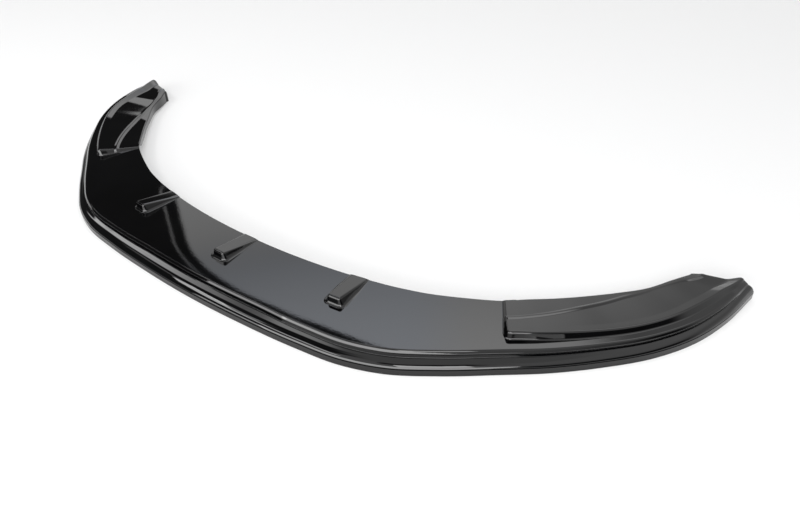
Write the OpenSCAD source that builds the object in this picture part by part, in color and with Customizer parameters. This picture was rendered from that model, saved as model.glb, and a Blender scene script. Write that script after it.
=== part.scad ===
// Front splitter lip: one thin sheet, formed over a tool and trimmed along the bay and the
// bottom edge. A section is lofted from the middle of the front edge round to both tips, three
// wedge ramps stand on the blade, and the same form drawn in by the sheet's thickness is
// taken out from below. Millimetres, Z up, front towards -Y.

/* [Overall] */
// Width from tip to tip
overall_w = 1700; // [1500:10:1900]
// Sweep of the outline, from the middle of the front edge back to the tips
sweep_d = 585; // [520:1:660]
// Thickness of the formed sheet
sheet_t = 4; // [3:0.5:5]

/* [Blade] */
// Width of the blade in the middle, from the front edge to the bay
blade_w = 167; // [150:1:185]
// Height of the flat top of the blade
blade_z = 36; // [33:0.5:40]

/* [Stepped edge] */
// Height of the outer wall, up to the corner that its rounding cuts off
ledge_z = 15; // [12:0.5:17]
// Height of the ledge at the foot of the step
ledge_foot_z = 23; // [21:0.5:25]
// Width of the ledge in the middle
ledge_w = 24.5; // [18:0.5:30]
// Width of the ledge at the tips
ledge_tip_w = 11; // [10:0.5:16]
// Inward lean of the outer wall over its height
wall_lean = 1; // [0.5:0.5:3]
// Inward lean of the step over its height
step_lean = 1; // [0.5:0.5:3]
// Radius of the ledge's outer edge
ledge_r = 11; // [8:0.5:13]
// Radius of the crown along the ledge
crown_r = 24; // [15:1:30]
// Radius along the top of the step
step_r = 7; // [5:0.5:8]
// Radius in the foot of the step and of the pads
foot_r = 3; // [1:0.5:4]

/* [Wing pads] */
// Place where the pads begin, measured along the front edge from the middle
pad_at = 597; // [570:1:625]
// Inset of the pad's foot where it begins
pad_in = 41; // [38:0.5:46]
// Height of the ridge above the blade where the pad begins
pad_h = 15; // [10:0.5:20]
// Height of the ridge above the blade at the tips
pad_tip_h = 5.5; // [4:0.5:9]
// Run of the ridge's outer slope
ridge_lean = 5.5; // [5:0.5:9]
// Radius along the top of the ridge
ridge_r = 5; // [4.5:0.5:8]
// Radius of the pad's front corner, seen from above
pad_corner = 15; // [6:1:18]
// Run of the slope at the pad's inner end
pad_end_lean = 9; // [5:0.5:12]

/* [Tips] */
// Rounding of the tips, seen from above and from the side
tip_r = 8; // [6:0.5:12]
// Outer radius of the bend into the flange behind the pads
flange_r = 4; // [1:0.5:6]

/* [Ramps] */
// Place of each outer ramp, measured along the front edge from the middle
ramp_at = 284; // [220:1:320]
// Turn of the outer ramps away from straight back, in degrees
ramp_splay = 5.5; // [0:0.5:12]
// Length of a ramp, from the foot of its nose to the bay
ramp_len = 88; // [70:1:100]
// Height of the nose above the blade
ramp_h = 16; // [11:0.5:18]
// Height above the blade where a ramp reaches the bay
ramp_end_h = 1.5; // [1:0.5:4]
// Width of a ramp's foot
ramp_w = 37; // [30:1:45]
// Lean of the nose, from foot to top
nose_lean = 8; // [5:0.5:11]
// Lean of the flanks at the nose, from foot to top
flank_lean = 5; // [3:0.5:7]
// Radius along the top edges of a ramp
ramp_edge_r = 6.5; // [4.5:0.5:8]
// Radius of the corners of the nose, seen from above
ramp_corner = 9; // [7:0.5:12]
// Height and width of the fillet round the nose of a ramp
ramp_fillet = 6; // [3:0.5:8]

/* [Hidden] */

// Plan of the right half as stations: [outer x, outer y, bay x, bay y]. The outer point lies on
// the bottom edge, the bay point lies across from it on the trimmed inner edge.
PLAN = [
    [0, 0, 0, 167], [130, 4, 118, 171.5], [247, 13, 221, 183.5], [335, 26, 293, 197.5],
    [405, 51, 333, 207.5], [478, 96, 393, 228], [559.5, 156, 494, 279], [616, 199, 523, 304.5],
    [683, 260, 585, 361.5], [748, 331, 643, 420.5], [794, 403, 688, 469], [826, 484, 718.5, 519],
    [850, 585, 741, 551]
];

// What changes along the edge: [share of the way from the middle to the tip, value]
LEDGE_W = [[0.05, 1], [0.13, 0.98], [0.2, 0.76], [0.35, 0.5], [0.55, 0.37], [0.75, 0.17], [1, 0]];
LEDGE_R = [[0.7, 1], [1, 1.2]];
LEDGE_RISE = [[0.7, 0], [0.9, 2], [1, 5]];
STEP_DROP = [[0.85, 0], [0.93, 1.4], [1, 5]];
STEP_RUN = [[0.8, 0], [0.93, 0.7], [1, 1.8]];
PAD_IN = [[0.54, 0], [0.59, -3.2], [0.65, -8], [0.71, -11], [0.82, -13.5], [0.93, -18], [1, -23]];
RIDGE_RUN = [[0.54, 0], [0.65, 3.5], [0.77, 3.5], [0.87, 8], [0.93, 8.2], [1, 2]];
RIDGE_H = [[0.54, 1], [0.59, 0.88], [0.65, 0.64], [0.71, 0.48], [0.8, 0.44], [0.87, 0.27], [0.95, 0]];
VALLEY_RUN = [[0.8, 16], [1, 19]];
VALLEY_DROP = [[0.6, 2.9], [0.77, 3.1], [0.84, 5], [0.92, 7.8], [1, 10.5]];
CREASE_IN = [
    [0.54, 87], [0.6, 92], [0.67, 104], [0.71, 111], [0.77, 118], [0.83, 116], [0.9, 104], [1, 81]
];
CREASE_DROP = [
    [0.54, 7.5], [0.63, 8.2], [0.67, 9.2], [0.71, 11.5], [0.77, 14], [0.83, 15.5], [0.92, 11.5], [1, 8.5]
];
BAY_H = [[0.54, 1.8], [0.59, 0.7], [0.65, -3.7], [0.69, -5.6], [0.77, -8.2], [0.9, -8], [1, -6.5]];
FLANGE = [[0.55, 0], [0.6, 9], [0.65, 10], [0.7, 9], [0.77, 11.5], [0.86, 18], [0.93, 22], [1, 26]];

// Steps of the loft, along the blade, over the start of a pad, along a wing and round a tip
BLADE_STEPS = 17;
PAD_STEPS = [0, 0.2, 0.45, 0.75, 1, 1.5];
WING_STEPS = 18;
TIP_TURNS = [0, 35, 65, 90];

// How far cutters run past what they cut, and how far the bay's cutter reaches
PAST = 6;
BAY_PAST = 48;

// The ledge's crown: where across the ledge, and at what share of its rise
CROWN_AT = 0.5;
CROWN_RISE = 0.69;

// Least gap between the crease and the bay edge, share of a side that a rounding may take,
// and least reach and radius of a rounding
CREASE_GAP = 4;
ROOM = 0.55;
MIN_REACH = 0.4;
MIN_R = 0.5;

// Segments of the ramps' round corners, and the height of the discs at their foot
BALL_FN = 24;
FOOT_FN = 32;
DISC_H = 0.5;

kx = overall_w / 2 / PLAN[len(PLAN) - 1][0];
ky = sweep_d / PLAN[len(PLAN) - 1][1];
kb = blade_w / PLAN[0][3];
RAILS = [for (p = PLAN)
    let (x = p[0] * kx, y = p[1] * ky)
    [x, y, x + (p[2] - p[0]) * kb, y + (p[3] - p[1]) * kb]];
KNOTS = [for (i = [0:len(RAILS) - 1]) run_to(i)];
EDGE_LEN = KNOTS[len(KNOTS) - 1];

// Distance along the outer edge to station i
function outer_of(r) = [r[0], r[1]];
function run_to(i) = i == 0 ? 0 : run_to(i - 1) + norm(outer_of(RAILS[i]) - outer_of(RAILS[i - 1]));

// Smooth curve through values at knots
function span(k, s, i = 0) = i >= len(k) - 2 || s < k[i + 1] ? i : span(k, s, i + 1);
function secant(k, p, i) = (p[i + 1] - p[i]) / (k[i + 1] - k[i]);
function hermite(a, b, ma, mb, h, t) =
    a * (2 * t * t * t - 3 * t * t + 1) + b * (3 * t * t - 2 * t * t * t)
    + ma * h * (t * t * t - 2 * t * t + t) + mb * h * (t * t * t - t * t);

// Slope of the rails at a knot: square to the middle plane at the first, weighted by the
// neighbours at the others
function rail_slope(i) =
    i == 0 ? [secant(KNOTS, RAILS, 0)[0], 0, secant(KNOTS, RAILS, 0)[2], 0]
    : i == len(KNOTS) - 1 ? secant(KNOTS, RAILS, i - 1)
    : let (before = KNOTS[i] - KNOTS[i - 1], after = KNOTS[i + 1] - KNOTS[i])
      (secant(KNOTS, RAILS, i - 1) * after + secant(KNOTS, RAILS, i) * before) / (before + after);
SLOPES = [for (i = [0:len(KNOTS) - 1]) rail_slope(i)];
function rails(s) =
    let (i = span(KNOTS, s), h = KNOTS[i + 1] - KNOTS[i])
    hermite(RAILS[i], RAILS[i + 1], SLOPES[i], SLOPES[i + 1], h, (s - KNOTS[i]) / h);

// Slope that keeps a track from overshooting its values
function track_slope(k, p, i) =
    i == 0 || i == len(k) - 1 ? 0
    : secant(k, p, i - 1) * secant(k, p, i) <= 0 ? 0
    : 2 * secant(k, p, i - 1) * secant(k, p, i) / (secant(k, p, i - 1) + secant(k, p, i));
function track(list, u) =
    let (k = [for (r = list) r[0]], p = [for (r = list) r[1]])
    u <= k[0] ? p[0]
    : u >= k[len(k) - 1] ? p[len(p) - 1]
    : let (i = span(k, u), h = k[i + 1] - k[i])
      hermite(p[i], p[i + 1], track_slope(k, p, i), track_slope(k, p, i + 1), h, (u - k[i]) / h);
function ease(t) = t <= 0 ? 0 : t >= 1 ? 1 : t * t * (3 - 2 * t);

// Frame of a station: outer point, rib direction and the outline's inward normal
function unit(v) = v / norm(v);
function outer_pt(s) = outer_of(rails(s));
function bay_pt(s) = let (r = rails(s)) [r[2], r[3]];
function rib(s) = unit(bay_pt(s) - outer_pt(s));
function inward(s) =
    let (t = unit(outer_pt(min(s + 1, EDGE_LEN)) - outer_pt(s - 1)))
    [-t[1], t[0]];
function bay_inset(s) = (bay_pt(s) - outer_pt(s)) * inward(s);

// Corners of the section at a station, as [inset, height, radius, points], from the bottom edge
// over the ledge, the step, the pad's foot, ridge, valley and crease to the bay
// The pad's slope begins late by `late`, the sheet's thickness for the hollow.
function pad_rise(s, late) = ease((s - pad_at - late) / pad_end_lean);
function corner_in(s, late) =
    let (g = min(1, max(0, 1 - (s - pad_at - late) / pad_corner)))
    pad_corner * (1 - sqrt(1 - g * g));
function section(s, late = 0) =
    let (
        u = s / EDGE_LEN,
        up = pad_rise(s, late),
        bay = bay_inset(s),
        w = ledge_tip_w + (ledge_w - ledge_tip_w) * track(LEDGE_W, u),
        foot_z = ledge_foot_z + track(LEDGE_RISE, u),
        foot_in = pad_in + track(PAD_IN, u) + corner_in(s, late),
        ridge_in = foot_in + ridge_lean + track(RIDGE_RUN, u),
        ridge_h = pad_tip_h + (pad_h - pad_tip_h) * track(RIDGE_H, u),
        valley_h = ridge_h - track(VALLEY_DROP, u),
        crease_in = min(track(CREASE_IN, u), bay - CREASE_GAP),
        crease_h = ridge_h - track(CREASE_DROP, u)
    )
    [
        [wall_lean, ledge_z, ledge_r * track(LEDGE_R, u), 5],
        [w * CROWN_AT, ledge_z + (foot_z - ledge_z) * CROWN_RISE, crown_r, 3],
        [w, foot_z, foot_r, 3],
        [w + step_lean + track(STEP_RUN, u), blade_z - track(STEP_DROP, u), step_r, 4],
        [foot_in, blade_z, foot_r, 3],
        [ridge_in, blade_z + up * ridge_h, ridge_r, 4],
        [ridge_in + track(VALLEY_RUN, u), blade_z + up * valley_h, ridge_r * 3, 3],
        [crease_in, blade_z + up * crease_h, ridge_r, 2],
        [bay, blade_z + up * track(BAY_H, u), flange_r * ease(track(FLANGE, u) / flange_r), 3]
    ];

// Rounded polyline: each corner becomes a short curve that touches both of its sides
function rounded(first, corners, last) =
    let (pts = concat([first], [for (c = corners) [c[0], c[1]]], [last]))
    [for (i = [1:len(pts) - 2])
        let (
            a = unit(pts[i - 1] - pts[i]),
            b = unit(pts[i + 1] - pts[i]),
            c = corners[i - 1],
            half = tan(acos(max(-1, min(1, a * b))) / 2),
            room = ROOM * min(norm(pts[i - 1] - pts[i]), norm(pts[i + 1] - pts[i])),
            reach = half * room < c[2] ? room : max(c[2] / half, MIN_REACH),
            p = pts[i] + a * reach,
            q = pts[i] + b * reach,
            n = c[3] - 1
        )
        for (j = [0:n])
            let (t = j / n)
            p * (1 - t) * (1 - t) + pts[i] * 2 * t * (1 - t) + q * t * t];

// The same corners drawn in by t, square to both of their sides, with radii that keep the thickness
function side_normal(p, q) = let (d = unit(q - p)) [d[1], -d[0]];
function drawn_in(first, corners, last, t) =
    let (pts = concat([first], [for (c = corners) [c[0], c[1]]], [last]))
    [for (i = [1:len(pts) - 2])
        let (
            m = side_normal(pts[i - 1], pts[i]), n = side_normal(pts[i], pts[i + 1]),
            p = pts[i] + (m + n) * t / (1 + m * n),
            convex = m[0] * n[1] - m[1] * n[0] < 0,
            r = corners[i - 1][2]
        )
        [p[0], p[1], convex ? max(r - t, MIN_R) : r + t, max(2, corners[i - 1][3] - 1)]];

// Closed outlines of the section: the form's outside, its hollow, and the space of the bay
function form_outline(s) =
    let (last = [bay_inset(s), 0])
    concat([[0, 0]], rounded([0, 0], section(s), last), [last]);
function hollow_outline(s) =
    let (
        c = section(s, sheet_t), bay = bay_inset(s), u = s / EDGE_LEN,
        d = drawn_in([0, 0], c, [bay, 0], sheet_t),
        first = [sheet_t, 0] - PAST * unit([wall_lean, ledge_z]),
        top = d[len(d) - 1],
        trim_z = top[1] - track(FLANGE, u),
        most = [for (i = [0:len(d) - 2]) d[i]]
    )
    concat([first], rounded(first, most, [top[0], top[1]]),
        [[top[0], top[1]], [top[0], trim_z], [bay + PAST, trim_z], [bay + PAST, -PAST]]);
function bay_outline(s) =
    let (bay = bay_inset(s), top = blade_z + ramp_h + PAST)
    [[bay, -PAST], [bay, top], [bay + BAY_PAST, top], [bay + BAY_PAST, -PAST]];

// Places a section outline in plan. Past the end of the edge the section moves square to its rib
// and closes in by the rounding of the tip.
function placed(pts, s, past_end, shrink) =
    let (
        o = outer_pt(s), r = rib(s), n = inward(s), k = 1 / (r * n),
        out = [r[1], -r[0]], bay = bay_inset(s), keep = 1 - 2 * shrink / bay
    )
    [for (p = pts)
        let (d = (shrink + p[0] * keep) * k, q = o + r * d + out * past_end)
        [q[0], q[1], p[1] * (1 - shrink / blade_z)]];
function mirrored(ring) = [for (p = ring) [-p[0], p[1], p[2]]];

// Stations along the right half, then the ring of points at each
BLADE_S = [for (i = [0:BLADE_STEPS]) (pad_at - 1) * i / BLADE_STEPS];
PAD_S = [for (g = PAD_STEPS) pad_at + g * pad_end_lean];
WING_FROM = pad_at + pad_corner + pad_end_lean;
WING_S = [for (i = [0:WING_STEPS - 1]) WING_FROM + (EDGE_LEN - WING_FROM) * i / WING_STEPS];
ALL_S = concat(BLADE_S, PAD_S, WING_S);
function tip_rings(outline, r) =
    [for (a = TIP_TURNS) placed(outline, EDGE_LEN, r * sin(a), r * (1 - cos(a)))];
FORM_RINGS = concat(
    [for (s = ALL_S) placed(form_outline(s), s, 0, 0)],
    tip_rings(form_outline(EDGE_LEN), tip_r));
HOLLOW_RINGS = concat(
    [for (s = ALL_S) placed(hollow_outline(s), s, 0, 0)],
    tip_rings(hollow_outline(EDGE_LEN), tip_r - sheet_t));
BAY_RINGS = [for (s = BLADE_S) placed(bay_outline(s), s, 0, 0)];

// Closed loft through the rings of the right half and their mirror images
module loft(half) {
    rings = concat([for (i = [len(half) - 1:-1:1]) mirrored(half[i])], half);
    n = len(rings[0]);
    last = len(rings) - 1;
    sides = [for (i = [0:last - 1], j = [0:n - 1])
        let (k = (j + 1) % n, a = i * n + j, b = i * n + k, c = a + n, d = b + n)
        each [[a, b, d], [a, d, c]]];
    ends = [[for (j = [n - 1:-1:0]) j], [for (j = [0:n - 1]) last * n + j]];
    polyhedron([for (r = rings) each r], concat(sides, ends));
}

// One wedge ramp with its foot's front edge at the origin, drawn in by t
module both_sides(y, half_w, r) {
    for (side = [-1, 1])
        translate([side * (half_w - r), y, 0])
            children();
}
module ramp(t, foot_z) {
    end_y = ramp_len + 2 * PAST;
    fall = (ramp_h - ramp_end_h) / ramp_len * end_y;
    end_lean = flank_lean * ramp_end_h / ramp_h;
    ball_r = max(ramp_edge_r - t, MIN_R);
    hull() {
        both_sides(nose_lean + ramp_edge_r, ramp_w / 2 - flank_lean, ramp_edge_r)
            translate([0, 0, blade_z + ramp_h - ramp_edge_r])
                sphere(ball_r, $fn = BALL_FN);
        both_sides(end_y, ramp_w / 2 - end_lean, ramp_edge_r)
            translate([0, 0, blade_z + ramp_h - fall - ramp_edge_r])
                sphere(ball_r, $fn = BALL_FN);
        for (y = [ramp_corner, end_y])
            both_sides(y, ramp_w / 2, ramp_corner)
                translate([0, 0, foot_z])
                    cylinder(DISC_H, r = ramp_corner - t, $fn = FOOT_FN);
    }
}

// Sloping fillet round a ramp's foot, lower towards the bay
module ramp_foot() {
    hull()
        for (place = [[ramp_corner, ramp_fillet], [ramp_len + 2 * PAST, ramp_end_h / 2]])
            both_sides(place[0], ramp_w / 2, ramp_corner)
                translate([0, 0, blade_z - DISC_H])
                    cylinder(
                        DISC_H + place[1], ramp_corner + place[1], ramp_corner - DISC_H, $fn = FOOT_FN);
}
module at_ramps() {
    for (side = [-1, 0, 1]) {
        p = bay_pt(abs(side) * ramp_at);
        translate([side * p[0], p[1], 0])
            rotate(side * ramp_splay)
                translate([0, -ramp_len, 0])
                    children();
    }
}

// Depth of the finished part, for the origin in the middle of its box
DEPTH = max([for (ring = FORM_RINGS, p = ring) p[1]]);

module splitter_lip() {
    color([0.05, 0.05, 0.06])
        translate([0, -DEPTH / 2, 0])
            difference() {
                union() {
                    loft(FORM_RINGS);
                    at_ramps() ramp(0, blade_z - sheet_t / 2);
                    at_ramps() ramp_foot();
                }
                loft(HOLLOW_RINGS);
                at_ramps() ramp(sheet_t, blade_z - sheet_t - 1);
                loft(BAY_RINGS);
            }
}

splitter_lip();
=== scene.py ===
import math

import bmesh
import bpy
import numpy as np
from mathutils import Matrix, Vector


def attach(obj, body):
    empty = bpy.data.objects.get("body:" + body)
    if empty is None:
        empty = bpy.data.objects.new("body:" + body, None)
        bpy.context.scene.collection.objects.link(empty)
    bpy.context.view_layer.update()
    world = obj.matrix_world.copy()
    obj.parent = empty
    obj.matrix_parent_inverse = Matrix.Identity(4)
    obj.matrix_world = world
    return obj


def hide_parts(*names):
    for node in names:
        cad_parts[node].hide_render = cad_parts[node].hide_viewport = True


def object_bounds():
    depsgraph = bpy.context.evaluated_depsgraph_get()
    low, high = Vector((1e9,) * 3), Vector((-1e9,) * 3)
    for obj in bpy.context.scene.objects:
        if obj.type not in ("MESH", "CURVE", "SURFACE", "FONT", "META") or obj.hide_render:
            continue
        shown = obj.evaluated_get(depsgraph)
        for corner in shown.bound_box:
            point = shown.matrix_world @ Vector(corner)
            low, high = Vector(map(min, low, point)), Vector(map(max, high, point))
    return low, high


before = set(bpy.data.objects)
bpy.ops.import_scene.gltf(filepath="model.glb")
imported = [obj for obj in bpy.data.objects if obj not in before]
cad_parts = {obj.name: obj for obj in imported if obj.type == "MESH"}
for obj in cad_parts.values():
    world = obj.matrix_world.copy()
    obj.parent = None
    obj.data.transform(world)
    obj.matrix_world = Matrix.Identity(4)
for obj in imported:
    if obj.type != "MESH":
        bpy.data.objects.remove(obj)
CAD_LO, CAD_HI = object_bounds()

# The form, in millimetres, with names as in the CAD source
# The step, crease, pad wall and ramp noses are a little crisper here, as the photo's reflections show.
OVERALL_W = 1700.0
SWEEP_D = 585.0
SHEET_T = 4.0
BLADE_W = 167.0
BLADE_Z = 36.0
LEDGE_Z = 15.0
LEDGE_FOOT_Z = 23.0
LEDGE_W = 24.5
LEDGE_TIP_W = 11.0
WALL_LEAN = 1.0
LEDGE_R = 11.0
CROWN_R = 24.0
STEP_R = 4.0
FOOT_R = 3.0
STEP_FOOT_R = 0.8
STEP_IN = 0.9
STEP_WALL = 0.65
STEP_SLANT = 0.27
GROOVE_IN = 0.9
GROOVE_H = 1.6
GROOVE_LIFT = 0.1
BEAD_W = 12.0
BEAD_H = 1.5
BEAD_R = 8.0
BEAD_FADE = 30.0
PAD_AT = 597.0
PAD_IN = 43.0
PAD_H = 15.0
PAD_TIP_H = 5.5
RIDGE_LEAN = 2.0
RIDGE_R = 5.0
PAD_CORNER = 15.0
PAD_END_LEAN = 9.0
TIP_R = 8.0
FLANGE_R = 4.0
RAMP_AT = 284.0
RAMP_SPLAY = 5.5
RAMP_LEN = 85.5
RAMP_H = 16.0
RAMP_END_H = 1.5
RAMP_W = 37.0
NOSE_LEAN = 2.0
FLANK_LEAN = 5.0
RAMP_EDGE_R = 4.5
RAMP_CORNER = 9.0
RAMP_FILLET = 4.5

# Plan of the right half: [outer x, outer y, bay x, bay y]
PLAN = (
    (0, 0, 0, 167), (130, 4, 118, 171.5), (247, 13, 221, 183.5), (335, 26, 293, 197.5),
    (405, 51, 333, 207.5), (478, 96, 393, 228), (559.5, 156, 494, 279), (616, 199, 523, 304.5),
    (683, 260, 585, 361.5), (748, 331, 643, 420.5), (794, 403, 688, 469), (826, 484, 718.5, 519),
    (850, 585, 741, 551),
)

# What changes along the edge: (share of the way to the tip, value)
LEDGE_W_ROW = ((0.05, 1), (0.13, 0.98), (0.2, 0.76), (0.35, 0.5), (0.55, 0.37), (0.75, 0.17), (1, 0))
LEDGE_R_ROW = ((0.7, 1), (1, 1.2))
LEDGE_RISE = ((0.7, 0), (0.9, 2), (1, 5))
STEP_DROP = ((0.85, 0), (0.93, 1.4), (1, 5))
STEP_RUN = ((0.8, 0), (0.93, 0.7), (1, 1.8))
PAD_IN_ROW = ((0.54, 0), (0.59, -3.2), (0.65, -8), (0.71, -11), (0.82, -13.5), (0.93, -18), (1, -23))
RIDGE_RUN = ((0.54, 0), (0.65, 3.5), (0.77, 3.5), (0.87, 8), (0.93, 8.2), (1, 2))
RIDGE_H = ((0.54, 1), (0.59, 0.88), (0.65, 0.64), (0.71, 0.48), (0.8, 0.44), (0.87, 0.27), (0.95, 0))
VALLEY_RUN = ((0.8, 16), (1, 19))
VALLEY_DROP = ((0.6, 2.9), (0.77, 3.1), (0.84, 5), (0.92, 7.8), (1, 10.5))
CREASE_IN = (
    (0.54, 87), (0.6, 92), (0.67, 104), (0.71, 111), (0.77, 118), (0.83, 116), (0.9, 104), (1, 81))
CREASE_DROP = (
    (0.54, 7.5), (0.63, 8.2), (0.67, 9.2), (0.71, 11.5), (0.77, 14), (0.83, 15.5), (0.92, 11.5),
    (1, 8.5))
BAY_H = ((0.54, 1.8), (0.59, 0.7), (0.65, -3.7), (0.69, -5.6), (0.77, -8.2), (0.9, -8), (1, -6.5))
FLANGE = ((0.55, 0), (0.6, 9), (0.65, 10), (0.7, 9), (0.77, 11.5), (0.86, 18), (0.93, 22), (1, 26))

# Fineness of the visible mesh
EDGE_POINTS = 13
OVERHANG_POINT = 5
BLADE_STEPS = 64
PAD_STEPS = (0, 0.1, 0.2, 0.3, 0.4, 0.5, 0.6, 0.7, 0.8, 0.9, 1, 1.2, 1.4, 1.6, 1.9)
WING_STEPS = 64
TIP_TURNS = (0, 12, 24, 36, 48, 60, 72, 84, 90)
PAST = 6.0
BAY_PAST = 48.0
CROWN_AT = 0.5
CROWN_RISE = 0.69
CREASE_GAP = 4.0
ROOM = 0.55
MIN_REACH = 0.4
MIN_R = 0.5
BEAD_ROOM = 0.45
BALL_TURNS = 48
BALL_LEVELS = 12
MIN_BALL = 0.2
CORNER_TURNS = 64
SKIRT_LEVELS = 12
SKIRT_SIDE = 24
SKIRT_CORNER = 16
MIN_FILLET = 0.3
FILLET_SHARE = 0.55
SHARP_ANGLE = 35.0
MM = 0.001

# The plan's two rails, stretched to the named width, sweep and blade width
kx = OVERALL_W / 2 / PLAN[-1][0]
ky = SWEEP_D / PLAN[-1][1]
kb = BLADE_W / PLAN[0][3]
RAILS = np.array([
    (x * kx, y * ky, x * kx + (bay_x - x) * kb, y * ky + (bay_y - y) * kb)
    for x, y, bay_x, bay_y in PLAN])
KNOTS = np.concatenate([[0.0], np.cumsum(np.linalg.norm(np.diff(RAILS[:, :2], axis=0), axis=1))])
EDGE_LEN = KNOTS[-1]


def hermite(a, b, ma, mb, h, t):
    return (
        a * (2 * t**3 - 3 * t * t + 1) + b * (3 * t * t - 2 * t**3)
        + ma * h * (t**3 - 2 * t * t + t) + mb * h * (t**3 - t * t))


def rail_slopes():
    sec = np.diff(RAILS, axis=0) / np.diff(KNOTS)[:, None]
    out = [np.array([sec[0][0], 0, sec[0][2], 0])]
    for i in range(1, len(KNOTS) - 1):
        before = KNOTS[i] - KNOTS[i - 1]
        after = KNOTS[i + 1] - KNOTS[i]
        out.append((sec[i - 1] * after + sec[i] * before) / (before + after))
    out.append(sec[-1])
    return np.array(out)


SLOPES = rail_slopes()


def rails(s):
    i = int(np.clip(np.searchsorted(KNOTS, s, side="right") - 1, 0, len(KNOTS) - 2))
    h = KNOTS[i + 1] - KNOTS[i]
    return hermite(RAILS[i], RAILS[i + 1], SLOPES[i], SLOPES[i + 1], h, (s - KNOTS[i]) / h)


def track(rows, u):
    k = [r[0] for r in rows]
    p = [r[1] for r in rows]
    if u <= k[0]:
        return p[0]
    if u >= k[-1]:
        return p[-1]
    i = max(j for j in range(len(k) - 1) if k[j] <= u)

    def slope(j):
        if j == 0 or j == len(k) - 1:
            return 0
        a = (p[j] - p[j - 1]) / (k[j] - k[j - 1])
        b = (p[j + 1] - p[j]) / (k[j + 1] - k[j])
        return 0 if a * b <= 0 else 2 * a * b / (a + b)

    h = k[i + 1] - k[i]
    return hermite(p[i], p[i + 1], slope(i), slope(i + 1), h, (u - k[i]) / h)


def ease(t):
    t = min(1.0, max(0.0, t))
    return t * t * (3 - 2 * t)


def unit(v):
    return v / np.linalg.norm(v)


def station(s):
    r = rails(s)
    outer, bay = r[:2], r[2:]
    along = unit(rails(min(s + 1, EDGE_LEN))[:2] - rails(s - 1)[:2])
    inward = np.array([-along[1], along[0]])
    return outer, unit(bay - outer), inward, float((bay - outer) @ inward)


def section(s, late=0.0):
    u = s / EDGE_LEN
    up = ease((s - PAD_AT - late) / PAD_END_LEAN)
    bay = station(s)[3]
    w = LEDGE_TIP_W + (LEDGE_W - LEDGE_TIP_W) * track(LEDGE_W_ROW, u)
    foot_z = LEDGE_FOOT_Z + track(LEDGE_RISE, u)
    step_z = BLADE_Z - track(STEP_DROP, u)
    step_in = w + STEP_IN + track(STEP_RUN, u)
    g = min(1.0, max(0.0, 1 - (s - PAD_AT - late) / PAD_CORNER))
    foot_in = PAD_IN + track(PAD_IN_ROW, u) + PAD_CORNER * (1 - math.sqrt(1 - g * g))
    ridge_in = foot_in + RIDGE_LEAN + track(RIDGE_RUN, u)
    ridge_h = PAD_TIP_H + (PAD_H - PAD_TIP_H) * track(RIDGE_H, u)
    valley_in = ridge_in + track(VALLEY_RUN, u)
    valley_z = BLADE_Z + up * (ridge_h - track(VALLEY_DROP, u))
    crease_in = min(track(CREASE_IN, u), bay - CREASE_GAP)
    crease_z = BLADE_Z + up * (ridge_h - track(CREASE_DROP, u))
    bay_z = BLADE_Z + up * track(BAY_H, u)
    # the crease stands a little proud, as a low bead that fades out at the bay
    half = min(BEAD_W / 2, (bay - crease_in) * BEAD_ROOM)
    proud = up * BEAD_H * min(1.0, (bay - crease_in) / BEAD_FADE)
    before = crease_z - (crease_z - valley_z) / (crease_in - valley_in) * half
    after = crease_z + (bay_z - crease_z) / (bay - crease_in) * half
    return [
        (WALL_LEAN, LEDGE_Z, LEDGE_R * track(LEDGE_R_ROW, u), EDGE_POINTS),
        (w * CROWN_AT, LEDGE_Z + (foot_z - LEDGE_Z) * CROWN_RISE, CROWN_R, 8),
        (w + STEP_IN, foot_z, STEP_FOOT_R, 4),
        (step_in, foot_z + (step_z - foot_z) * STEP_WALL, STEP_FOOT_R, 4),
        (step_in + (step_z - foot_z) * STEP_SLANT, step_z, STEP_R, 9),
        (foot_in, BLADE_Z, FOOT_R, 6),
        (ridge_in, BLADE_Z + up * ridge_h, RIDGE_R, 8),
        (valley_in, valley_z, RIDGE_R * 3, 5),
        (crease_in - half, before, BEAD_R, 5),
        (crease_in, crease_z + proud, BEAD_R, 7),
        (crease_in + half, after, BEAD_R, 5),
        (bay, bay_z, FLANGE_R * ease(track(FLANGE, u) / FLANGE_R), 6),
    ]


def rounded(first, corners, last):
    pts = [np.array(first, float)] + [np.array(c[:2], float) for c in corners] + [np.array(last, float)]
    out = []
    for i in range(1, len(pts) - 1):
        to_a, to_b = pts[i - 1] - pts[i], pts[i + 1] - pts[i]
        a, b = unit(to_a), unit(to_b)
        half = math.tan(math.acos(max(-1.0, min(1.0, float(a @ b)))) / 2)
        room = ROOM * min(np.linalg.norm(to_a), np.linalg.norm(to_b))
        r = corners[i - 1][2]
        reach = room if half * room < r else max(r / half, MIN_REACH)
        p, q = pts[i] + a * reach, pts[i] + b * reach
        count = corners[i - 1][3]
        for j in range(count):
            t = j / (count - 1)
            out.append(p * (1 - t) ** 2 + pts[i] * 2 * t * (1 - t) + q * t * t)
    return out


def drawn_in(first, corners, last, t):
    pts = [np.array(first, float)] + [np.array(c[:2], float) for c in corners] + [np.array(last, float)]
    out = []
    for i in range(1, len(pts) - 1):
        d = unit(pts[i] - pts[i - 1])
        e = unit(pts[i + 1] - pts[i])
        m, n = np.array([d[1], -d[0]]), np.array([e[1], -e[0]])
        p = pts[i] + (m + n) * t / (1 + m @ n)
        convex = m[0] * n[1] - m[1] * n[0] < 0
        r = corners[i - 1][2]
        out.append((p[0], p[1], max(r - t, MIN_R) if convex else r + t, corners[i - 1][3]))
    return out


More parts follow.
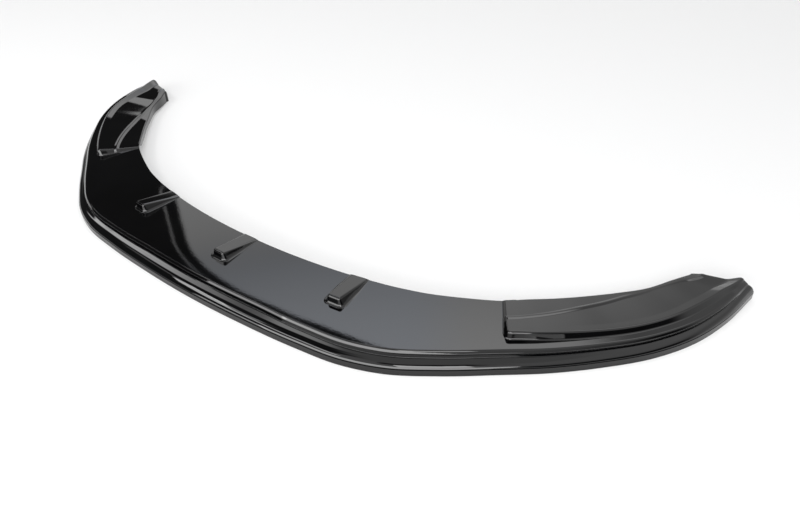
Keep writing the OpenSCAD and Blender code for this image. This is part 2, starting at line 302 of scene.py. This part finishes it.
def form_outline(s):
    last = (station(s)[3], 0)
    pts = [np.zeros(2)] + rounded((0, 0), section(s), last) + [np.array(last, float)]
    # shadow line under the rolled outer edge: its overhang, then the wall below it
    edge = pts[OVERHANG_POINT]
    pts[OVERHANG_POINT - 1] = edge + np.array([GROOVE_IN, GROOVE_LIFT - GROOVE_H])
    for below, down in ((2, 1.0), (3, 1.8), (4, 2.6)):
        z = edge[1] - GROOVE_H * down
        pts[OVERHANG_POINT - below] = np.array([WALL_LEAN * z / LEDGE_Z, z])
    return pts


def hollow_outline(s):
    bay = station(s)[3]
    d = drawn_in((0, 0), section(s, SHEET_T), (bay, 0), SHEET_T)
    first = np.array([SHEET_T, 0]) - PAST * unit(np.array([WALL_LEAN, LEDGE_Z]))
    top = np.array(d[-1][:2])
    trim_z = top[1] - track(FLANGE, s / EDGE_LEN)
    tail = [top, (top[0], trim_z), (bay + PAST, trim_z), (bay + PAST, -PAST)]
    return [first] + rounded(first, d[:-1], top) + [np.array(p, float) for p in tail]


def bay_outline(s):
    bay = station(s)[3]
    top = BLADE_Z + RAMP_H + PAST
    corners = ((bay, -PAST), (bay, top), (bay + BAY_PAST, top), (bay + BAY_PAST, -PAST))
    return [np.array(p, float) for p in corners]


def placed(pts, s, past_end=0.0, shrink=0.0):
    o, r, n, bay = station(s)
    k = 1 / float(r @ n)
    out = np.array([r[1], -r[0]])
    keep = 1 - 2 * shrink / bay
    ring = []
    for p in pts:
        q = o + r * (shrink + p[0] * keep) * k + out * past_end
        ring.append((q[0], q[1], p[1] * (1 - shrink / BLADE_Z)))
    return ring


BLADE_S = [(PAD_AT - 1) * i / BLADE_STEPS for i in range(BLADE_STEPS + 1)]
PAD_S = [PAD_AT + g * PAD_END_LEAN for g in PAD_STEPS]
WING_FROM = PAD_AT + PAD_CORNER + PAD_END_LEAN
WING_S = [WING_FROM + (EDGE_LEN - WING_FROM) * i / WING_STEPS for i in range(WING_STEPS)]
ALL_S = BLADE_S + PAD_S + WING_S


def half_rings(outline, r):
    rings = [placed(outline(s), s) for s in ALL_S]
    for turn in TIP_TURNS:
        a = math.radians(turn)
        rings.append(placed(outline(EDGE_LEN), EDGE_LEN, r * math.sin(a), r * (1 - math.cos(a))))
    return rings


def mesh_from(name, verts, faces):
    mesh = bpy.data.meshes.new(name)
    mesh.from_pydata([tuple(v) for v in verts], [], faces)
    mesh.validate()
    bm = bmesh.new()
    bm.from_mesh(mesh)
    bmesh.ops.recalc_face_normals(bm, faces=bm.faces)
    bm.to_mesh(mesh)
    bm.free()
    return mesh


def loft(name, half):
    rings = [[(-p[0], p[1], p[2]) for p in ring] for ring in half[:0:-1]] + half
    n = len(rings[0])
    verts = [p for ring in rings for p in ring]
    faces = []
    for i in range(len(rings) - 1):
        for j in range(n):
            k = (j + 1) % n
            faces.append((i * n + j, i * n + k, (i + 1) * n + k, (i + 1) * n + j))
    faces.append(tuple(range(n - 1, -1, -1)))
    faces.append(tuple((len(rings) - 1) * n + j for j in range(n)))
    return mesh_from(name, verts, faces)


# Ramps: convex bodies, with a hollow fillet round the foot
SLOPE = (RAMP_H - RAMP_END_H) / RAMP_LEN
END_Y = RAMP_LEN + 2 * PAST


def ramp_body(t, foot_z):
    pts = []
    end_top = BLADE_Z + RAMP_H - SLOPE * END_Y
    end_lean = FLANK_LEAN * RAMP_END_H / RAMP_H
    ball = RAMP_EDGE_R - min(t, RAMP_EDGE_R - MIN_BALL)
    tops = (
        (NOSE_LEAN + RAMP_EDGE_R, RAMP_W / 2 - FLANK_LEAN, BLADE_Z + RAMP_H - RAMP_EDGE_R),
        (END_Y, RAMP_W / 2 - end_lean, end_top - RAMP_EDGE_R))
    for y, half_w, z in tops:
        for side in (-1, 1):
            for i in range(BALL_TURNS):
                for j in range(-BALL_LEVELS // 2, BALL_LEVELS + 1):
                    lon, lat = math.tau * i / BALL_TURNS, math.pi / 2 * j / BALL_LEVELS
                    pts.append((
                        side * (half_w - RAMP_EDGE_R) + ball * math.cos(lat) * math.cos(lon),
                        y + ball * math.cos(lat) * math.sin(lon), z + ball * math.sin(lat)))
    for y in (RAMP_CORNER, END_Y):
        for side in (-1, 1):
            middle = side * (RAMP_W / 2 - RAMP_CORNER)
            for i in range(CORNER_TURNS):
                a = math.tau * i / CORNER_TURNS
                r = RAMP_CORNER - t
                pts.append((middle + r * math.cos(a), y + r * math.sin(a), foot_z))
    bm = bmesh.new()
    verts = [bm.verts.new(p) for p in pts]
    hull = bmesh.ops.convex_hull(bm, input=verts)
    loose = {g for g in hull["geom_interior"] + hull["geom_unused"] if isinstance(g, bmesh.types.BMVert)}
    bmesh.ops.delete(bm, geom=list(loose), context="VERTS")
    bmesh.ops.recalc_face_normals(bm, faces=bm.faces)
    verts = [tuple(v.co) for v in bm.verts]
    index = {v: i for i, v in enumerate(bm.verts)}
    faces = [tuple(index[v] for v in f.verts) for f in bm.faces]
    bm.free()
    return verts, faces


def fillet_at(y):
    top = RAMP_H - SLOPE * y
    return max(MIN_FILLET, min(RAMP_FILLET, FILLET_SHARE * top))


def ramp_skirt():
    """Hollow fillet round the foot: rings from the blade up into the ramp's flanks."""
    rings = []
    levels = [(1.0, -1.0)]
    for i in range(SKIRT_LEVELS + 1):
        a = math.pi / 2 * i / SKIRT_LEVELS
        levels.append((1 - math.sin(a), 1 - math.cos(a)))
    levels.append((-0.5, 1.0))
    for out, up in levels:
        ring = []
        path = []
        half = RAMP_W / 2
        for i in range(SKIRT_SIDE, 0, -1):
            y = RAMP_CORNER + (END_Y - RAMP_CORNER) * i / SKIRT_SIDE
            path.append((half, y, 1.0, 0.0))
        for j in range(SKIRT_CORNER + 1):
            a = math.pi / 2 * j / SKIRT_CORNER
            path.append((
                half - RAMP_CORNER + RAMP_CORNER * math.cos(a), RAMP_CORNER - RAMP_CORNER * math.sin(a),
                math.cos(a), -math.sin(a)))
        path += [(-x, y, -nx, ny) for x, y, nx, ny in path[::-1]]
        for x, y, nx, ny in path:
            f = fillet_at(y)
            z = f * up if up > 0 else up
            height = max(z, 0)
            # the flanks lean in with height, the nose more than the sides
            lean = (FLANK_LEAN * nx * nx + NOSE_LEAN * ny * ny) / RAMP_H * height
            move = f * out - lean
            ring.append((x + nx * move, y + ny * move, BLADE_Z + z))
        rings.append(ring)
    n = len(rings[0])
    verts = [p for ring in rings for p in ring]
    faces = [
        (i * n + j, i * n + (j + 1) % n, (i + 1) * n + (j + 1) % n, (i + 1) * n + j)
        for i in range(len(rings) - 1) for j in range(n)]
    faces.append(tuple(range(n - 1, -1, -1)))
    faces.append(tuple((len(rings) - 1) * n + j for j in range(n)))
    return verts, faces


def at_ramps(name, body):
    verts, faces = [], []
    for side in (-1, 0, 1):
        p = rails(abs(side) * RAMP_AT)[2:]
        turn = math.radians(side * RAMP_SPLAY)
        c, s = math.cos(turn), math.sin(turn)
        start = len(verts)
        for x, y, z in body[0]:
            y -= RAMP_LEN
            verts.append((side * p[0] + c * x - s * y, p[1] + s * x + c * y, z))
        faces += [tuple(start + i for i in f) for f in body[1]]
    return mesh_from(name, verts, faces)


def put(name, mesh):
    obj = bpy.data.objects.new(name, mesh)
    bpy.context.scene.collection.objects.link(obj)
    return obj


def combine(base, steps):
    tools = []
    for kind, mesh in steps:
        tool = put("tool", mesh)
        tools.append(tool)
        mod = base.modifiers.new(kind, "BOOLEAN")
        mod.operation = kind
        mod.solver = "MANIFOLD"
        mod.object = tool
    bpy.context.view_layer.update()
    graph = bpy.context.evaluated_depsgraph_get()
    mesh = bpy.data.meshes.new_from_object(base.evaluated_get(graph))
    base.modifiers.clear()
    base.data = mesh
    for tool in tools:
        bpy.data.objects.remove(tool)


form_half = half_rings(form_outline, TIP_R)
DEPTH = max(p[1] for ring in form_half for p in ring)
lip = put("lip_shell", loft("lip_form", form_half))
combine(lip, (
    ("UNION", at_ramps("ramps", ramp_body(0, BLADE_Z - SHEET_T / 2))),
    ("UNION", at_ramps("skirts", ramp_skirt())),
    ("DIFFERENCE", loft("hollow", half_rings(hollow_outline, TIP_R - SHEET_T))),
    ("DIFFERENCE", at_ramps("ramps_in", ramp_body(SHEET_T, BLADE_Z - SHEET_T - 1))),
    ("DIFFERENCE", loft("bay", [placed(bay_outline(s), s) for s in BLADE_S])),
))
lip.data.transform(Matrix.Scale(MM, 4) @ Matrix.Translation((0, -DEPTH / 2, 0)))
# The finer mesh stays inside the box of the form that it stands for
for vert in lip.data.vertices:
    vert.co = [min(max(c, low), high) for c, low, high in zip(vert.co, CAD_LO, CAD_HI)]
lip.data.name = "lip_shell"
lip.data.shade_smooth()
lip.data.set_sharp_from_angle(angle=math.radians(SHARP_ANGLE))
weigh = lip.modifiers.new("weigh", "WEIGHTED_NORMAL")
weigh.mode = "FACE_AREA"
weigh.keep_sharp = True
weigh.weight = 50

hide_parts("splitter_lip")
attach(lip, "root")


# Materials
def new_material(name):
    mat = bpy.data.materials.new(name)
    mat.use_nodes = True
    nodes = mat.node_tree.nodes
    nodes.clear()
    out = nodes.new("ShaderNodeOutputMaterial")
    shader = nodes.new("ShaderNodeBsdfPrincipled")
    mat.node_tree.links.new(shader.outputs["BSDF"], out.inputs["Surface"])
    return mat, nodes, mat.node_tree.links, shader


def gloss_black():
    mat, nodes, links, shader = new_material("gloss_black")
    shader.inputs["IOR"].default_value = 1.5
    place = nodes.new("ShaderNodeTexCoord")
    tone = nodes.new("ShaderNodeTexNoise")
    tone.inputs["Scale"].default_value = 9
    tone.inputs["Detail"].default_value = 6
    links.new(place.outputs["Object"], tone.inputs["Vector"])
    tint = nodes.new("ShaderNodeValToRGB")
    tint.color_ramp.elements[0].position = 0.3
    tint.color_ramp.elements[0].color = (0.0006, 0.0006, 0.0007, 1)
    tint.color_ramp.elements[1].position = 0.75
    tint.color_ramp.elements[1].color = (0.0014, 0.0014, 0.0016, 1)
    links.new(tone.outputs["Fac"], tint.inputs["Fac"])
    links.new(tint.outputs["Color"], shader.inputs["Base Color"])
    rough = nodes.new("ShaderNodeMapRange")
    rough.inputs["To Min"].default_value = 0.012
    rough.inputs["To Max"].default_value = 0.04
    links.new(tone.outputs["Fac"], rough.inputs["Value"])
    links.new(rough.outputs["Result"], shader.inputs["Roughness"])
    wave = nodes.new("ShaderNodeTexNoise")
    wave.inputs["Scale"].default_value = 9
    wave.inputs["Detail"].default_value = 2
    links.new(place.outputs["Object"], wave.inputs["Vector"])
    slow = nodes.new("ShaderNodeBump")
    slow.inputs["Strength"].default_value = 1
    slow.inputs["Distance"].default_value = 0.00008
    links.new(wave.outputs["Fac"], slow.inputs["Height"])
    peel = nodes.new("ShaderNodeTexNoise")
    peel.inputs["Scale"].default_value = 260
    peel.inputs["Detail"].default_value = 3
    links.new(place.outputs["Object"], peel.inputs["Vector"])
    fine = nodes.new("ShaderNodeBump")
    fine.inputs["Strength"].default_value = 1
    fine.inputs["Distance"].default_value = 0.00001
    links.new(peel.outputs["Fac"], fine.inputs["Height"])
    links.new(slow.outputs["Normal"], fine.inputs["Normal"])
    links.new(fine.outputs["Normal"], shader.inputs["Normal"])
    return mat


lip.data.materials.clear()
lip.data.materials.append(gloss_black())


FLOOR_HALF = 14.0
FLOOR_DROP = 0.0005
FLOOR_TONE = 0.5
FLOOR_GLOW = 0.3


def pale_floor():
    mat, nodes, links, shader = new_material("pale_floor")
    shader.inputs["Base Color"].default_value = (FLOOR_TONE, FLOOR_TONE, FLOOR_TONE, 1)
    shader.inputs["Roughness"].default_value = 0.9
    shader.inputs["Specular IOR Level"].default_value = 0.2
    shader.inputs["Emission Color"].default_value = (1, 1, 1, 1)
    path = nodes.new("ShaderNodeLightPath")
    seen = path.outputs["Is Camera Ray"]
    for kind in ("Is Glossy Ray", "Is Transmission Ray"):
        either = nodes.new("ShaderNodeMath")
        either.operation = "MAXIMUM"
        links.new(seen, either.inputs[0])
        links.new(path.outputs[kind], either.inputs[1])
        seen = either.outputs["Value"]
    glow = nodes.new("ShaderNodeMath")
    glow.operation = "MULTIPLY"
    glow.inputs[1].default_value = FLOOR_GLOW
    links.new(seen, glow.inputs[0])
    links.new(glow.outputs["Value"], shader.inputs["Emission Strength"])
    return mat


floor_corners = [(x * FLOOR_HALF, y * FLOOR_HALF, 0) for x, y in ((-1, -1), (1, -1), (1, 1), (-1, 1))]
floor = put("floor", mesh_from("floor", floor_corners, [(0, 1, 2, 3)]))
floor.location.z = -FLOOR_DROP
floor.data.materials.append(pale_floor())


# World: one plain studio, the same for every kind of ray
# Angles are in degrees: the azimuth is 0 along +Y and grows towards +X, the elevation is from the floor.
DARK = 0.04


def studio_world():
    world = bpy.data.worlds.new("studio")
    bpy.context.scene.world = world
    world.use_nodes = True
    nodes, links = world.node_tree.nodes, world.node_tree.links
    nodes.clear()
    out = nodes.new("ShaderNodeOutputWorld")
    back = nodes.new("ShaderNodeBackground")
    links.new(back.outputs["Background"], out.inputs["Surface"])
    place = nodes.new("ShaderNodeTexCoord")
    axes = nodes.new("ShaderNodeSeparateXYZ")
    links.new(place.outputs["Generated"], axes.inputs["Vector"])

    def sum_of(op, *values):
        node = nodes.new("ShaderNodeMath")
        node.operation = op
        for i, v in enumerate(values):
            if isinstance(v, (int, float)):
                node.inputs[i].default_value = v
            else:
                links.new(v, node.inputs[i])
        return node.outputs["Value"]

    def rise(value, start, end, low=0.0, high=1.0):
        node = nodes.new("ShaderNodeMapRange")
        node.interpolation_type = "SMOOTHSTEP"
        node.inputs["From Min"].default_value = start
        node.inputs["From Max"].default_value = end
        node.inputs["To Min"].default_value = low
        node.inputs["To Max"].default_value = high
        links.new(value, node.inputs["Value"])
        return node.outputs["Result"]

    def both(*masks):
        whole = masks[0]
        for m in masks[1:]:
            whole = sum_of("MULTIPLY", whole, m)
        return whole

    def painted(under, colour, mask):
        # under + (colour - under) * mask
        return sum_of("MULTIPLY_ADD", sum_of("SUBTRACT", colour, under), mask, under)

    deg = 180 / math.pi
    el = sum_of("MULTIPLY", sum_of("ARCSINE", axes.outputs["Z"]), deg)
    az = sum_of("MULTIPLY", sum_of("ARCTAN2", axes.outputs["X"], axes.outputs["Y"]), deg)
    value = rise(el, 20.0, 45.0, 0.8, 1.25)
    # ceiling, dimmer over the left front
    value = painted(value, 1.0, rise(el, 62.0, 70.0))
    # back wall: a plain lower part and a bright upper part, whose edge rises towards the right
    low = sum_of("MULTIPLY", rise(el, 6.0, 30.0, 0.6, 1.45), rise(az, -22.0, -8.0, 1.1, 0.54))
    high = sum_of("MULTIPLY", rise(el, 32.0, 48.0, 1.1, 3.3), rise(az, -5.0, 10.0, 1.0, 0.7))
    above = sum_of("SUBTRACT", el, rise(az, -32.0, 2.0, 33.0, 42.5))
    upper = rise(above, 0.0, 5.0)
    wall = painted(low, high, upper)
    span = both(rise(az, -80.0, -75.0), rise(az, 32.0, 20.0), rise(el, 68.0, 58.0))
    value = painted(value, wall, span)
    # dark side on the right
    span = both(rise(az, 66.0, 84.0), rise(az, 132.0, 128.0), rise(el, 28.0, 18.0))
    value = painted(value, DARK, span)
    # dark side on the left, with a leaning edge towards the back wall
    over = sum_of("MAXIMUM", sum_of("SUBTRACT", el, 33.0), 0.0)
    leaning = sum_of("MULTIPLY_ADD", both(over, over), 0.13, -57.4)
    edge = sum_of("ADD", leaning, rise(el, 29.0, 25.0, 0.0, 8.5))
    beside = sum_of("SUBTRACT", az, edge)
    span = both(
        rise(beside, 0.25, -0.25), rise(az, -152.0, -146.0), rise(el, 56.0, 50.0), rise(el, 17.5, 19.0))
    value = painted(value, DARK, span)
    span = both(rise(az, -74.0, -82.0), rise(az, -152.0, -146.0), rise(el, 78.0, 66.0))
    value = painted(value, 0.06, span)
    # dark gap above the front lamp
    span = both(rise(az, 118.0, 124.0), rise(el, 57.0, 59.0), rise(el, 71.0, 69.0))
    value = painted(value, 0.08, span)
    # thin lit seam in the dark side, beside its edge
    span = both(
        rise(beside, -1.45, -1.3), rise(beside, -1.05, -1.2), rise(el, 38.0, 36.0), rise(el, 27.0, 29.0))
    value = painted(value, 0.7, span)
    # narrow leaning light on the left, which the ledge below the step shows as a thin line
    lean = sum_of("SUBTRACT", az, sum_of("MULTIPLY_ADD", el, 0.5, -99.0))
    span = both(
        rise(lean, -1.9, -0.9), rise(lean, 1.9, 0.9), rise(el, 24.0, 30.0), rise(el, 55.0, 48.0))
    value = painted(value, rise(el, 38.0, 50.0, 5.0, 2.2), span)
    # and a fainter one beside it
    drop = sum_of("SUBTRACT", el, sum_of("MULTIPLY_ADD", az, -0.56, -13.1))
    span = both(
        rise(drop, -1.2, -0.6), rise(drop, 1.2, 0.6), rise(az, -92.0, -95.0), rise(az, -122.0, -117.0))
    value = painted(value, 3.0, span)
    # white at the horizon behind the object
    span = both(rise(el, 6.0, 3.0), rise(az, -80.0, -72.0), rise(az, 80.0, 72.0))
    value = painted(value, 1.0, span)
    links.new(value, back.inputs["Strength"])
    # the bright part of the back wall is a little cooler on the left
    cool = nodes.new("ShaderNodeMix")
    cool.data_type = "RGBA"
    factor, plain, tinted, mixed = cool.inputs[0], cool.inputs[6], cool.inputs[7], cool.outputs[2]
    plain.default_value = (1, 1, 1, 1)
    tinted.default_value = (0.955, 1, 1.08, 1)
    span = both(upper, rise(az, -24.0, -34.0), rise(az, -70.0, -66.0), rise(el, 60.0, 56.0))
    links.new(span, factor)
    links.new(mixed, back.inputs["Color"])


studio_world()


# Lamps
LAMP_AT = 3.2


def soft_box(name, azimuth, elevation, size_x, size_y, power):
    data = bpy.data.lights.new(name, "AREA")
    data.shape = "RECTANGLE"
    data.size = size_x
    data.size_y = size_y
    data.energy = power
    obj = bpy.data.objects.new(name, data)
    bpy.context.scene.collection.objects.link(obj)
    a, e = math.radians(azimuth), math.radians(elevation)
    way = Vector((math.sin(a) * math.cos(e), math.cos(a) * math.cos(e), math.sin(e)))
    obj.location = way * LAMP_AT
    obj.rotation_euler = way.to_track_quat("Z", "Y").to_euler()
    return obj


# Name, azimuth, elevation, width, height, power
soft_box("soft_front", 167.0, 15.5, 5.1, 1.6, 170.0)
soft_box("soft_left", -148.5, 13.0, 0.73, 0.8, 9.8)
soft_box("soft_side", 138.0, 41.0, 1.0, 1.3, 29.0)
soft_box("soft_strip", -142.0, 48.0, 2.6, 0.36, 21.0)

# Camera, fitted to both halves of the outline
CAM_POS = (0.80793, -0.49013 - DEPTH / 2 * MM, 0.74338)
CAM_AZ, CAM_EL, CAM_ROLL = 34.51, 37.91, 0.23
LENS = 27.96
SENSOR = 36.0


def set_camera():
    a, e, r = (math.radians(v) for v in (CAM_AZ, CAM_EL, CAM_ROLL))
    back = Vector((math.sin(a) * math.cos(e), -math.cos(a) * math.cos(e), math.sin(e)))
    right = (-back).cross(Vector((0, 0, 1))).normalized()
    up = right.cross(-back)
    right_r = right * math.cos(r) + up * math.sin(r)
    up_r = up * math.cos(r) - right * math.sin(r)
    cam = bpy.data.cameras.new("camera")
    cam.lens = LENS
    cam.sensor_width = SENSOR
    cam.clip_end = 100.0
    obj = bpy.data.objects.new("camera", cam)
    bpy.context.scene.collection.objects.link(obj)
    turn = Matrix((right_r, up_r, back)).transposed().to_4x4()
    obj.matrix_world = Matrix.Translation(CAM_POS) @ turn
    bpy.context.scene.camera = obj


set_camera()
bpy.context.scene.view_settings.view_transform = "Standard"

bpy.context.view_layer.update()
